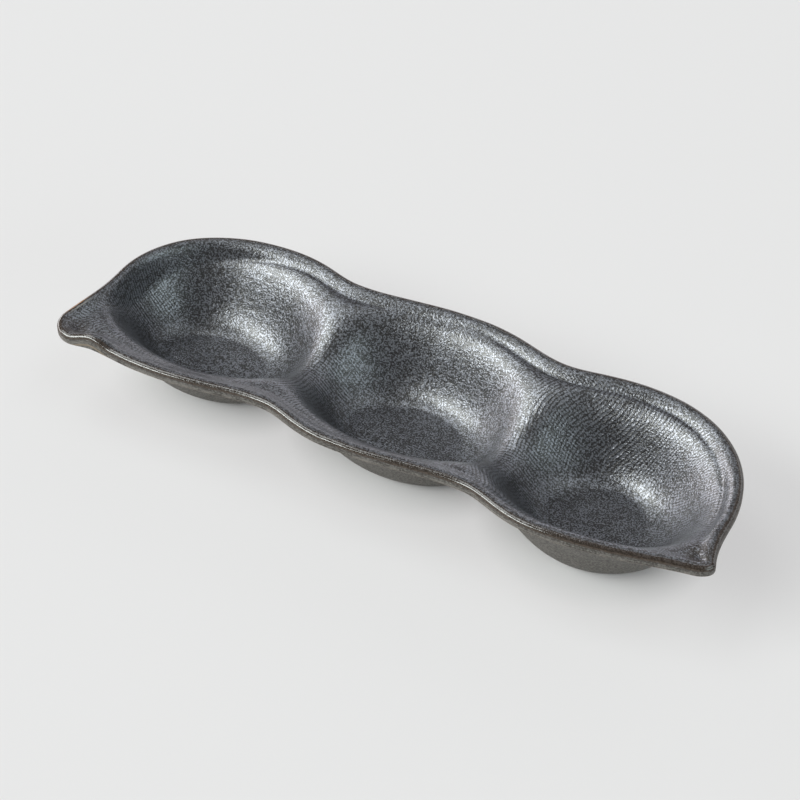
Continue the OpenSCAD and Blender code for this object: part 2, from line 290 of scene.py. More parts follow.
@dataclass(frozen=True)
class Well:
    """One well: its centre, the half sizes of its floor and base, and how far out its wall climbs.

    The outside of the wall lies a wall's thickness further out, except over a saddle.
    """

    x: float
    y: float
    base_shift: float
    floor: Pair
    base: Pair
    reach_back: float
    reach_ahead: float
    reach_near: float
    reach_far: float
    wall: float
    back_is_end: bool
    ahead_is_end: bool

    def centre(self, face: Face) -> Pair:
        """Centre of the floor or of the base."""
        return (self.x, self.y) if face is Face.TOP else (self.x - self.base_shift, self.y)

    def size(self, face: Face) -> Pair:
        """Half length and half width of the floor or of the base."""
        return self.floor if face is Face.TOP else self.base

    def way(self, x: Array, y: Array, face: Face) -> Array:
        """Way up this well's wall, 0 at the edge of its floor or base and 1 or more at the land.

        It is taken in a straight line from the centre, as the share of the way from the oval of the
        floor or base to the oval of the reach.

        Args:
            x: Places along the pod.
            y: Places across the pod.
            face: Which face of the form.

        Returns:
            Shares of the same shape as x.
        """
        cx, cy = self.centre(face)
        dx, dy = x - cx, y - cy
        r = np.hypot(dx, dy)
        centre = r < TINY
        c = np.where(centre, 1, dx / (r + centre))
        s = np.where(centre, 0, dy / (r + centre))
        grow = self.wall if face is Face.UNDER else 0.0
        end = np.where(dx < 0, self.back_is_end, self.ahead_is_end)
        long = np.where(dx < 0, self.reach_back, self.reach_ahead) + grow * end
        wide = np.where(dy < 0, self.reach_near, self.reach_far) + grow
        low = oval_radius(c, s, *self.size(face))
        return (r - low) / (oval_radius(c, s, long, wide) - low)


@dataclass(frozen=True)
class PodForm:
    """The pressed form: outline, wells, lip and thicknesses, with the heights of its faces."""

    outline: Outline = Outline()
    end_shift: float = 0.7
    middle_shift: float = 2.7
    tip_well_drop: float = 3.0
    floor_long: Three = (20.6, 21.5, 16.6)
    floor_wide: Three = (12.1, 15.6, 16.8)
    base_shift: float = 2.0
    base_long: Three = (23.3, 26.0, 21.8)
    base_wide: Three = (14.7, 16.0, 18.7)
    floor_height: float = 6.1
    far_reach: float = 39.75
    near_reach: float = 36.0
    saddle_reach: float = 56.5
    stem_reach: float = 51.0
    tip_reach: float = 51.5
    foot_ease: float = 1.7
    top_ease: float = 1.6
    saddle_blend: float = 0.4
    rim_height: float = 36.0
    lip_radius: float = 1.6
    lip_face: float = 1.9
    lip_under: float = 1.0
    lip_flat: float = 2.5
    stem_swell: float = 2.2
    swell_length: float = 114.6
    swell_half: float = 10.4
    ledge_width: float = 7.8
    ledge_drop: float = 2.2
    wall: float = 3.0
    flange: float = 3.6
    glaze: float = 0.4
    foot_height: float = 1.2
    foot_width: float = 3.5
    glaze_wipe: float = 0.3
    gather: float = 0.85
    last_share: float = 0.88

    @property
    def land(self) -> float:
        """Height of the ledge inside the lip."""
        return self.rim_height - self.ledge_drop

    @property
    def lip_thickness(self) -> float:
        """Thickness of the lip at its edge: upper round, upright face and lower round."""
        return self.lip_radius + self.lip_face + self.lip_under

    @property
    def wells(self) -> tuple[Well, ...]:
        """The three wells from the stem to the tip."""
        pitch, ends_x, over = self.outline.pitch, self.end_shift, self.saddle_reach
        x, y = (ends_x - pitch, self.middle_shift, ends_x + pitch), (0.0, 0.0, -self.tip_well_drop)
        floors, bases = zip(self.floor_long, self.floor_wide), zip(self.base_long, self.base_wide)
        back, ahead = (self.stem_reach, over, over), (over, over, self.tip_reach)
        walls = (self.near_reach, self.far_reach, self.wall)
        ends = ((True, False), (False, False), (False, True))
        each = zip(x, y, [self.base_shift] * 3, floors, bases, back, ahead)
        return tuple(Well(*sizes, *walls, *end) for sizes, end in zip(each, ends))

    @property
    def centring(self) -> Array:
        """Shift that brings the middle of the outline's box over the origin."""
        curve = self.outline.curve()
        return np.append(-(curve.min(axis=0) + curve.max(axis=0)) / 2, 0.0)

    def soft_min(self, a: Array, b: Array) -> Array:
        """Lower of two ways, rounded off where they are close."""
        near = np.maximum(0, self.saddle_blend - np.abs(a - b)) / self.saddle_blend
        return np.minimum(a, b) - near * near * self.saddle_blend / 4

    def wall_share(self, x: Array, y: Array, face: Face) -> Array:
        """Height of the walls, 0 on a floor or base and 1 at the land, soft over the saddles.

        The lowest way up t, softened where two walls meet, gives t^f / (t^f + (1 - t)^g), where f
        is the ease at the foot of the wall and g the ease at its top.

        Args:
            x: Places along the pod.
            y: Places across the pod.
            face: Which face of the form.

        Returns:
            Heights of the same shape as x.
        """
        first, second, third = (w.way(x, y, face) for w in self.wells)
        t = np.clip(self.soft_min(self.soft_min(first, second), third), 0, 1)
        rise, rest = t**self.foot_ease, (1 - t) ** self.top_ease
        return rise / (rise + rest)

    def bead(self, d: Array) -> Array:
        """Rise of the lip over the land at distance d from its edge: half a cosine wave, 1 to 0."""
        return half_wave(ramp(d, self.lip_flat, self.ledge_width))

    def swell(self, rim: Array) -> Array:
        """Rise of the lip beside the stem along the near edge: a cosine wave up and down again."""
        t = (rim[:, 0] + self.swell_length) / self.swell_half
        return self.stem_swell * half_wave(t) * (rim[:, 1] < 0)

    def basin(self, x: Array, y: Array) -> Array:
        """Height of the wells and the land without the lip."""
        share = self.wall_share(x, y, Face.TOP)
        return self.floor_height + (self.land - self.floor_height) * share

    def lip_taper(self, d: Array) -> Array:
        """Rise of the underside from flange to lip at distance d from the edge: half a cosine."""
        rise = self.rim_height - self.lip_thickness - self.land + self.flange
        return rise * half_wave(ramp(d, self.lip_under, self.ledge_width))

    def belly(self, x: Array, y: Array) -> Array:
        """Height of the underside, from the bases of the wells up to the flange."""
        base = self.foot_height - self.glaze
        return base + (self.land - self.flange - base) * self.wall_share(x, y, Face.UNDER)


# Marks of the making, and a painted sheen on the near flange.
# Lengths are in millimetres, angles in degrees, and the rest are shares.


@dataclass(frozen=True)
class Hand:
    """The small unevenness of pressed clay: a few crossing waves, and a rim that dips with them."""

    lengths: tuple[float, ...] = (61.0, 37.0, 23.0, 15.0)
    headings: tuple[float, ...] = (20.0, 110.0, 65.0, 150.0)
    heights: tuple[float, ...] = (0.16, 0.12, 0.08, 0.05)
    rim_dip: float = 0.35
    dip_fade: float = 4.0
    set_back: float = 0.15

    def waves(self, x: Array, y: Array) -> Array:
        """Sum of sine waves, each with its own length, heading and height.

        Args:
            x: Places along the pod.
            y: Places across the pod.

        Returns:
            Heights of the same shape as x.
        """
        turn = np.radians(self.headings)
        shape = (-1,) + (1,) * x.ndim
        length, height = (np.reshape(v, shape) for v in (self.lengths, self.heights))
        across = np.cos(turn).reshape(shape) * x + np.sin(turn).reshape(shape) * y
        phase = np.arange(len(self.lengths)).reshape(shape)
        return (height * np.sin(2 * math.pi * across / length + phase)).sum(axis=0)

    def dip(self, x: Array, y: Array) -> Array:
        """How far the rim lies below its full height, from 0 to the most that it dips."""
        return self.rim_dip * (1 - self.waves(x, y) / sum(self.heights)) / 2


@dataclass(frozen=True)
class MouldEdge:
    """Groove that the mould's edge printed inside the lip, along the far side of the dish.

    It starts as a straight ramp along the pod, goes on round the end of the last well, and ends
    there as a ramp across the pod. Bell curves along the dish bring it closer to the lip beside the
    middle well, and make it deeper beside the outer wells and shallower before the middle one.
    """

    depth: float = 0.5
    width: float = 1.2
    before_foot: float = 0.7
    starts: Pair = (-110.0, -95.0)
    past_last: float = 120.0
    ends: Pair = (-22.0, -14.0)
    closer: Bell = Bell(1.7, 5.0, 26.0)
    deeper: tuple[Bell, ...] = (
        Bell(0.5, -92.0, 16.0),
        Bell(0.5, 90.0, 14.0),
        Bell(-0.6, -38.0, 24.0),
    )

    def at(self, x: Array, y: Array, d: Array, foot: float) -> Array:
        """Depth of the groove, a bell curve across it.

        Args:
            x: Places of the rim along the pod.
            y: Places of the rim across the pod.
            d: Distances from the lip's edge, in rows.
            foot: Distance of the lip's foot from its edge.

        Returns:
            Depths of the same shape as d.
        """
        shown = ramp(x, *self.starts) * np.where(x > self.past_last, ramp(y, *self.ends), 1)
        depth = self.depth * (1 + sum(bell.at(x) for bell in self.deeper))
        middle = foot - self.before_foot - self.closer.at(x)
        return Bell(1.0, 0.0, self.width).at(d - middle) * shown * depth


@dataclass(frozen=True)
class Cloth:
    """The cloth that was pressed into the wells, and where its print is worn."""

    thread_long: float = 1.7
    thread_wide: float = 1.3
    wear: float = 0.85
    worn_ahead: Pair = (-6.0, 6.0)
    worn_far: Pair = (6.0, 18.0)
    tip_wear: float = 0.2
    tip_worn_ahead: Pair = (0.0, 12.0)
    wall_gain: float = 4.0
    floor_depth: float = 0.1
    lip_fade: Pair = (2.5, 5.5)
    step: float = 0.5
    table_half: Pair = (150.0, 50.0)


@dataclass(frozen=True)
class GlazeMarksAndSheen:
    """Painted sheen inside the near edge, and dark glaze thin on the stem and thick at the ends."""

    painted_sheen_in: Pair = (3.0, 4.5)
    painted_sheen_out: Pair = (16.0, 8.0)
    painted_sheen_along: Pair = (50.0, 20.0)
    thin_middle: float = -26.0
    thin_half: float = 9.0
    thin_from: float = 0.93
    pools: tuple[Pair, ...] = ((-125.5, -37.0), (134.5, -24.2))
    pool_radius: float = 4.5


# Meshes


@dataclass
class Grid:
    """A surface on rows and columns, with the values that its finish reads at each point."""

    points: Array
    values: dict[str, Array]

    def joined(self, other: "Grid") -> "Grid":
        """Put the rows of another grid after the rows of this one."""
        values = {name: np.concatenate([v, other.values[name]]) for name, v in self.values.items()}
        return Grid(np.concatenate([self.points, other.points]), values)

    def turned(self, every: int = 1) -> "Grid":
        """Take the rows the other way round, with the first and last kept.

        Args:
            every: How many rows apart the others are taken.

        Returns:
            The turned grid.
        """
        last = len(self.points) - 1
        rows = np.unique(np.r_[np.arange(0, last + 1, every), last])[::-1]
        return Grid(self.points[rows], {name: v[rows] for name, v in self.values.items()})


@dataclass
class PodSurface:
    """The faces of the pod on a fine grid, whose columns run from the rim to the middle line."""

    form: PodForm
    hand: Hand = Hand()
    mould: MouldEdge = MouldEdge()
    cloth: Cloth = Cloth()
    marks: GlazeMarksAndSheen = GlazeMarksAndSheen()
    columns: int = 576
    lip_rows: int = 8
    face_rows: int = 5
    ledge_rows: int = 16
    wall_rows: int = 56
    floor_rows: int = 12
    least_square: float = 0.5

    def __post_init__(self) -> None:
        """Work out the rim, set back a hair into the solids, and the ends of the columns once."""
        half, pitch = self.columns // 2, self.form.outline.pitch
        rim, self.inward = self.form.outline.columns(self.columns)
        self.rim = rim + self.inward * self.hand.set_back
        self.swell = self.form.swell(rim)[None]
        self.dip = self.hand.dip(*self.rim.T)[None]
        step = np.arange(self.columns)
        self.far = step <= half
        side = np.where(self.far, step, self.columns - step)
        opposite = (-np.arange(half + 1)) % self.columns
        pairs = (self.rim[: half + 1, 0] + self.rim[opposite, 0]) / 2
        waves = np.sin(2 * math.pi * pairs / pitch)
        gathered = pairs - self.form.gather * pitch / (2 * math.pi) * waves
        x = np.where(np.abs(pairs) < pitch, gathered, np.clip(pairs, -pitch, pitch))
        y = -self.form.tip_well_drop * ramp(x, 0, pitch) ** 2
        self.middle = np.stack([x, y], axis=1)[side]
        first = np.flatnonzero(x > -pitch)[0] - 1
        last = np.flatnonzero(x < pitch)[-1] + 1
        self.middle_step = np.clip(side, first, last) - first

    def runs(self, inset: float) -> tuple[Array, Array, Array]:
        """Straight runs from the rim to the middle line.

        Args:
            inset: Distance inwards from the rim at which the runs start.

        Returns:
            Their starts, their spans, and how far inwards each leads, taken squarely from the rim.
        """
        start = self.rim + self.inward * inset
        span = self.middle - start
        length = np.linalg.norm(span, axis=1)
        square = (self.inward * span).sum(axis=1) / length
        return start, span, length * np.maximum(square, self.least_square)

    def crossing(self, inset: float, face: Face) -> Array:
        """Where the runs meet the floors or bases, from the quadratic of a line and an oval.

        Args:
            inset: Distance inwards from the rim at which the runs start.
            face: Which face of the form.

        Returns:
            The share of each run.
        """
        start, span, _ = self.runs(inset)
        half, wells = self.form.outline.pitch / 2, self.form.wells
        nearest = np.digitize(self.middle[:, 0], [-half, half])
        centre = np.array([w.centre(face) for w in wells])[nearest]
        size = np.array([w.size(face) for w in wells])[nearest]
        o, d = (start - centre) / size, span / size
        u, v, w = (d * d).sum(axis=1), (o * d).sum(axis=1), (o * o).sum(axis=1) - 1
        e = v * v - u * w
        met = (-v - np.sqrt(np.maximum(e, 0))) / u
        return np.where(e < 0, self.form.last_share, np.minimum(self.form.last_share, met))

    def lip(self, radius: float, angles: Array, inset: float, face: Array) -> Array:
        """Rows round the lip: an arc of the given radius that starts at its upright face.

        Args:
            radius: Radius of the round.
            angles: Angles in radians, one a row, above (+) or below (-) the face.
            inset: Distance inwards from the rim of the arc's outermost point.
            face: Share of the upright face that lies above each row, where the swell fades out.

        Returns:
            Points of shape (rows, columns, 3).
        """
        form = self.form
        inwards = inset + radius * (1 - np.cos(angles))
        plan = self.rim + self.inward * inwards[:, None, None]
        z = form.rim_height - form.lip_radius + radius * np.sin(angles) - form.lip_face * face
        return np.dstack([plan, z[:, None] + self.swell * (1 - face)[:, None] - self.dip])

    def top(self, coat: float) -> Grid:
        """The upper face from the lip's widest line to the middle line, or a coat's depth below it.

        The lip's arc is followed by a height that goes from the lip to the basin as the bead falls.

        Args:
            coat: Depth below the glazed face.

        Returns:
            The face, with the print of the cloth, the distance from the lip's edge, the marks of
            the glaze and the painted sheen.
        """
        form = self.form
        angles = steps(self.lip_rows)[:, 0] * math.pi / 2
        lip = self.lip(form.lip_radius - coat, angles, coat, 0 * angles)
        start, span, depth = self.runs(form.lip_radius)
        ledge = (form.ledge_width - form.lip_radius) / depth
        edge = self.crossing(form.lip_radius, Face.TOP)
        share = np.concatenate([
            steps(self.ledge_rows) * ledge,
            ledge + steps(self.wall_rows) * (edge - ledge),
            edge + steps(self.floor_rows, closed=True) * (1 - edge),
        ])
        plan = start + span * share[..., None]
        x, y, d = plan[..., 0], plan[..., 1], form.lip_radius + share * depth
        groove = self.mould.at(*self.rim.T, d, form.ledge_width) * self.far
        hollow = form.basin(x, y) + self.hand.waves(x, y) - groove
        rise = form.rim_height + self.swell - self.dip - hollow
        points = np.concatenate([lip, np.dstack([plan, hollow + rise * form.bead(d) - coat])])
        above = ((self.lip_rows, 0), (0, 0))
        cloth, down = (np.pad(value, above) for value in self.cloth_print(x, y, d))
        values = {"cloth": cloth, "down_long": down, "from_lip": self.along(points)}
        return Grid(points, values | self.glaze_marks_and_sheen(points, values["from_lip"]))

    def along(self, points: Array) -> Array:
        """Distance along the face from its first row, the running sum of the steps between rows."""
        rows = np.linalg.norm(np.diff(points, axis=0), axis=2)
        return np.concatenate([np.zeros((1, self.columns)), np.cumsum(rows, axis=0)])

    def glaze_marks_and_sheen(self, points: Array, from_lip: Array) -> dict[str, Array]:
        """Where a sheen is painted on the near flange, and where the dark glaze is thin and thick.

        The painted sheen, paler on the near side only, is the product of straight ramps in from the
        lip, out to the wall and along the edge. The stem's thin edge is one cosine wave, and a pool
        a bell curve round a point.

        Args:
            points: Points of the upper face.
            from_lip: Distances along the face from the lip's edge.

        Returns:
            The sheen and the two marks by name, from 0 to about 1.
        """
        marks, (x, y) = self.marks, self.rim.T
        # Painted sheen: a paler slope on the near flange alone, for the reflection that it shows.
        painted_sheen = ramp(from_lip, *marks.painted_sheen_in) * ramp(from_lip, *marks.painted_sheen_out)
        painted_sheen = painted_sheen * ~self.far * ramp(x, *marks.painted_sheen_along)
        at_stem = x < -self.form.outline.stem_length * marks.thin_from
        thin = half_wave((y - marks.thin_middle) / marks.thin_half) * at_stem
        pool = Bell(1.0, 0.0, marks.pool_radius)
        from_pools = (np.linalg.norm(points[..., :2] - place, axis=2) for place in marks.pools)
        pooled = sum(pool.at(distance) for distance in from_pools)
        return {"flange": painted_sheen, "stem_edge": np.broadcast_to(thin, painted_sheen.shape), "pooled": pooled}

    def cloth_print(self, x: Array, y: Array, d: Array) -> tuple[Array, Array]:
        """How deep the cloth's print is and which of its threads run down the wall.

        The print is faint on the floors and the lip. In the first two wells it is worn on the walls
        that face the stem or the near side, and in the last one a little all over. The steepness
        along the pod, as a share of the whole, tells the threads that run down.

        Args:
            x: Places along the pod.
            y: Places across the pod.
            d: Distances from the lip's edge.

        Returns:
            Depth and share of the steepness along the pod, both from 0 to 1.
        """
        form, cloth, step, level = self.form, self.cloth, self.cloth.step, 1e-6
        half = form.outline.pitch / 2
        nearest = np.digitize(x, [-half, half])
        ahead = x - np.array([w.x for w in form.wells])[nearest]
        worn = cloth.wear * np.maximum(ramp(ahead, *cloth.worn_ahead), ramp(y, *cloth.worn_far))
        tip_worn = cloth.tip_wear * (1 + ramp(ahead, *cloth.tip_worn_ahead))
        kept = 1 - np.where(nearest == len(form.wells) - 1, tip_worn, worn)
        walls = np.clip(cloth.wall_gain * form.wall_share(x, y, Face.TOP), cloth.floor_depth, 1)
        slope_x = form.basin(x + step, y) - form.basin(x - step, y)
        slope_y = form.basin(x, y + step) - form.basin(x, y - step)
        down = (slope_x**2 + level) / (slope_x**2 + slope_y**2 + 2 * level)
        return walls * ramp(d, *cloth.lip_fade) * kept, down

    def under(self, coat: float, to_middle: bool) -> Grid:
        """The lower face from the lip's widest line to the bases, or a coat's thickness above it.

        Args:
            coat: Depth into the clay.
            to_middle: Whether the rows go on over the bases to the middle line.

        Returns:
            The face, with the distance from the lip's edge and the height above the table.
        """
        form = self.form
        down, turned = steps(self.face_rows)[:, 0], steps(self.lip_rows)[:, 0] * math.pi / 2
        angles, face = np.append(0 * down, turned), np.append(down, 0 * turned + 1)
        lip = self.lip(form.lip_under - coat, -angles, coat, face)
        start, span, depth = self.runs(form.lip_under)
        edge = self.crossing(form.lip_under, Face.UNDER)
        share = steps(self.wall_rows, closed=True) * edge
        if to_middle:
            inner = edge + steps(self.floor_rows, closed=True)[1:] * (1 - edge)
            share = np.concatenate([share, inner])
        plan = start + span * share[..., None]
        d = form.lip_under + share * depth
        height = form.belly(plan[..., 0], plan[..., 1]) + form.lip_taper(d) + coat
        z = height - self.dip * np.exp(-d / self.hand.dip_fade)
        points = np.concatenate([lip, np.dstack([plan, z])])
        return Grid(points, {"from_lip": self.along(points), "above_table": points[..., 2]})

    def threads(self, points: Array) -> Array:
        """Count the threads of the cloth that was pressed into the wells.

        A thread stays in its upright plane and follows the basin, so the count along it is the
        distance along the surface, the running sum of sqrt(1 + slope^2), over the threads' pitch.
        The counts stand in a table, read between its points in proportion to the distances.

        Args:
            points: Points of the upper face.

        Returns:
            Counts along and across the pod, of shape (..., 2).
        """
        cloth, step = self.cloth, self.cloth.step
        x, y = (np.arange(-half, half + step, step) for half in cloth.table_half)
        slope_x, slope_y = np.gradient(self.form.basin(*np.meshgrid(x, y, indexing="ij")), step)
        along = np.cumsum(np.hypot(1, slope_x), axis=0) * step
        across = np.cumsum(np.hypot(1, slope_y), axis=1) * step
        along -= along[len(x) // 2][None]
        across -= across[:, len(y) // 2][:, None]
        table = np.stack([along / cloth.thread_long, across / cloth.thread_wide], axis=-1)
        i = np.clip((points[..., 0] - x[0]) / step, 0, len(x) - 1 - TINY)[..., None]
        j = np.clip((points[..., 1] - y[0]) / step, 0, len(y) - 1 - TINY)[..., None]
        i0, j0 = i.astype(int)[..., 0], j.astype(int)[..., 0]
        low = table[i0, j0] * (1 - j % 1) + table[i0, j0 + 1] * (j % 1)
        high = table[i0 + 1, j0] * (1 - j % 1) + table[i0 + 1, j0 + 1] * (j % 1)
        return low * (1 - i % 1) + high * (i % 1)


class Closing(Enum):
    """How the rows of a grid close into a solid."""

    ON_MIDDLE_LINE = "first and last row lie on the middle line"
    ON_ITSELF = "last row meets the first"


def closed_faces(
    rows: int, columns: int, closing: Closing, middle_step: Array | None = None
) -> tuple[Array, Array, Array]:
    """Join a grid that is closed sideways into the faces of a solid.

    Args:
        rows: Number of rows.
        columns: Number of columns.
        closing: How the rows close.
        middle_step: For each column, which point of the middle line it ends on, if it does.

    Returns:
        The grid point kept for each vertex, the quads and the triangles, as vertex numbers.
    """
    number = np.arange(rows * columns).reshape(rows, columns)
    if closing is Closing.ON_MIDDLE_LINE:
        _, first = np.unique(middle_step, return_index=True)
        number[0] = number[0][first][middle_step]
        number[-1] = number[-1][first][middle_step]
    else:
        number = np.concatenate([number, number[:1]])
    kept, number_flat = np.unique(number, return_inverse=True)
    number = number_flat.reshape(number.shape)
    ahead = np.roll(number, -1, axis=1)
    quads = np.stack([number[:-1], number[1:], ahead[1:], ahead[:-1]], axis=-1).reshape(-1, 4)
    first_same, last_same = quads[:, 0] == quads[:, 3], quads[:, 1] == quads[:, 2]
    triangles = [quads[first_same][:, [0, 1, 2]], quads[last_same][:, [0, 1, 3]]]
    return kept, quads[~(first_same | last_same)], np.concatenate(triangles)


def make_piece(
    name: str,
    points: Array,
    faces: Sequence[Array],
    values: Mapping[str, Array] | None = None,
    uv: Array | None = None,
) -> bpy.types.Object:
    """Put points and faces into a smooth mesh at the origin.

    Args:
        name: Name of the piece.
        points: Points in millimetres, of shape (n, 3).
        faces: Arrays of faces as point numbers.
        values: Numbers at each point that the finish reads, by name.
        uv: A place on the cloth for each point, of shape (n, 2).

    Returns:
        The object, linked into the scene.
    """
    mesh = bpy.data.meshes.new(name)
    mesh.from_pydata((points * MM).tolist(), [], [f for part in faces for f in part.tolist()])
    for key, number in (values or {}).items():
        held = mesh.attributes.new(key, "FLOAT", "POINT")
        held.data.foreach_set("value", number.astype(np.float32))
    if uv is not None:
        corners = np.empty(len(mesh.loops), dtype=np.int32)
        mesh.loops.foreach_get("vertex_index", corners)
        held = mesh.uv_layers.new(name=THREAD_MAP)
        held.data.foreach_set("uv", uv[corners].astype(np.float32).ravel())
    mesh.polygons.foreach_set("use_smooth", np.ones(len(mesh.polygons), dtype=bool))
    mesh.update()
    piece = bpy.data.objects.new(name, mesh)
    bpy.context.scene.collection.objects.link(piece)
    return piece


# Shader nodes


class Term:
    """A socket of a shader node that takes part in Python arithmetic."""

    def __init__(self, graph: "Graph", socket: bpy.types.NodeSocket) -> None:
        """Keep the socket and the graph that new nodes go into."""
        self.graph = graph
        self.socket = socket

    def math(self, operation: str, *others: "Term | float", clamp: bool = False) -> "Term":
        """Add a Math node with this socket first, and keep its result within 0 and 1 if asked."""
        settings = {"operation": operation, "use_clamp": clamp}
        return self.graph.add("ShaderNodeMath", settings, dict(enumerate((self, *others))))

    def __add__(self, other: "Term | float") -> "Term":
        """Sum."""
        return self.math("ADD", other)

    __radd__ = __add__

    def __sub__(self, other: "Term | float") -> "Term":
        """Difference."""
        return self.math("SUBTRACT", other)

    def __rsub__(self, other: float) -> "Term":
        """Difference from a number."""
        return (self * -1.0) + other

    def __mul__(self, other: "Term | float") -> "Term":
        """Product."""
        return self.math("MULTIPLY", other)

    __rmul__ = __mul__

    def sine(self) -> "Term":
        """Sine of an angle in radians."""
        return self.math("SINE")

    def clamped(self) -> "Term":
        """This value kept between 0 and 1."""
        return self.math("ADD", 0.0, clamp=True)

    def between(self, low: float, high: float) -> "Term":
        """Smooth step from 0 at low to 1 at high, or the other way down where low is the larger.

        Args:
            low: Value where the step is 0.
            high: Value where the step is 1.

        Returns:
            The step.
        """
        ends = (0.0, 1.0) if low < high else (1.0, 0.0)
        inputs = {"Value": self, "From Min": min(low, high), "From Max": max(low, high)}
        inputs |= {"To Min": ends[0], "To Max": ends[1]}
        return self.graph.add("ShaderNodeMapRange", {"interpolation_type": "SMOOTHSTEP"}, inputs)

    def graded(self, band: Pair, gain: float, least: float) -> "Term":
        """Smooth step over a band, times a gain, plus the least that it gives."""
        return self.between(*band) * gain + least

    def spread(self, amount: float) -> "Term":
        """How far this pattern is above or below its middle level, times an amount."""
        return (self - 0.5) * amount

    def stripe(self, start: float, full: float, falls: float, end: float) -> "Term":
        """Stripe that rises smoothly from start to full, and falls smoothly from falls to end."""
        return self.between(start, full) * self.between(end, falls)

    def sibling(self, name: str) -> "Term":
        """Another output of the same node."""
        return Term(self.graph, self.socket.node.outputs[name])


@dataclass(frozen=True)
class Noise:
    """A cloudy pattern: the rough size of its features in millimetres, its detail and roughness."""

    size: float
    detail: float = 2.0
    rough: float = 0.5


class Graph:
    """The node tree of one material, with a single way to add a node."""

    def __init__(self, name: str) -> None:
        """Start a material with an empty node tree."""
        self.material = bpy.data.materials.new(name)
        self.material.use_nodes = True
        self.tree = self.material.node_tree
        self.tree.nodes.clear()

    def add(
        self,
        kind: str,
        settings: Mapping[str, Any] | None = None,
        inputs: Mapping[str | int, Any] | None = None,
        output: str | int = 0,
    ) -> Term:
        """Add a node.

        Args:
            kind: The node's type.
            settings: Its own properties, which are set first.
            inputs: Values or links of its sockets, by name or number.
            output: The socket that is returned, by name or number.

        Returns:
            The chosen output as a term.
        """
        node = self.tree.nodes.new(kind)
        for key, value in (settings or {}).items():
            setattr(node, key, value)
        for key, value in (inputs or {}).items():
            if isinstance(value, Term):
                self.tree.links.new(value.socket, node.inputs[key])
            else:
                node.inputs[key].default_value = value
        return Term(self, node.outputs[output]) if node.outputs else Term(self, node.inputs[0])

    def place(self) -> Term:
        """The place on the piece, in metres, in the frame of the part."""
        return self.add("ShaderNodeTexCoord", output="Object")

    def value(self, name: str) -> Term:
        """A number that the mesh holds at each point."""
        return self.add("ShaderNodeAttribute", {"attribute_name": name}, output="Fac")

    def noise(self, place: Term, noise: Noise, output: str | int = 0) -> Term:
        """Cloudy pattern from 0 to 1.

        Args:
            place: The place on the piece.
            noise: The size and fineness of the pattern.
            output: The socket that is returned.

        Returns:
            The pattern.
        """
        inputs = {"Vector": place, "Scale": 1 / (noise.size * MM)}
        inputs |= {"Detail": noise.detail, "Roughness": noise.rough}
        return self.add("ShaderNodeTexNoise", {"noise_dimensions": "3D"}, inputs, output)

    def flecks(self, place: Term, size: float) -> Term:
        """Distance to the nearest of many scattered points, up to about 1 in cells of that size."""
        inputs = {"Vector": place, "Scale": 1 / (size * MM), "Randomness": 1.0}
        return self.add("ShaderNodeTexVoronoi", {"feature": "F1"}, inputs, "Distance")

    def mixed(self, share: Term, first: Colour | Term, second: Colour | Term) -> Term:
        """Mix two colours, all first at share 0 and all second at share 1."""
        a, b = (v if isinstance(v, Term) else (*v, 1.0) for v in (first, second))
        return self.add("ShaderNodeMix", {"data_type": "RGBA"}, {0: share, 6: a, 7: b}, 2)

    def layered(self, colour: Term, *layers: tuple[Term, Colour]) -> Term:
        """Lay further colours over a first one, in turn.

        Args:
            colour: The first colour.
            layers: The share and the colour of each layer.

        Returns:
            The colour that shows.
        """
        for share, over in layers:
            colour = self.mixed(share, colour, over)
        return colour

    def bump(self, height: Term, depth: float, strength: float, over: Term | None = None) -> Term:
        """Raise the surface by height times depth, in millimetres, over another bump if given."""
        inputs = {"Height": height, "Distance": depth * MM, "Strength": strength}
        return self.add("ShaderNodeBump", None, inputs | ({"Normal": over} if over else {}))

    def surface(self, colour: Term, **inputs: Term | float) -> Term:
        """Surface shader of a colour, with its other sockets by name."""
        return self.add("ShaderNodeBsdfPrincipled", None, {"Base Color": colour, **inputs})

    def finished(self, shader: Term) -> bpy.types.Material:
        """Send a shader to the output and hand over the material."""
        self.add("ShaderNodeOutputMaterial", None, {"Surface": shader})
        return self.material


# Finishes. Bands of the lip and the stem are distances from the lip's edge in millimetres, and
# bands of the grain, the cloud and the rise are levels of these patterns. A share is how much a
# colour covers at most, and a pair of shares is how much it gains over a band and its least.


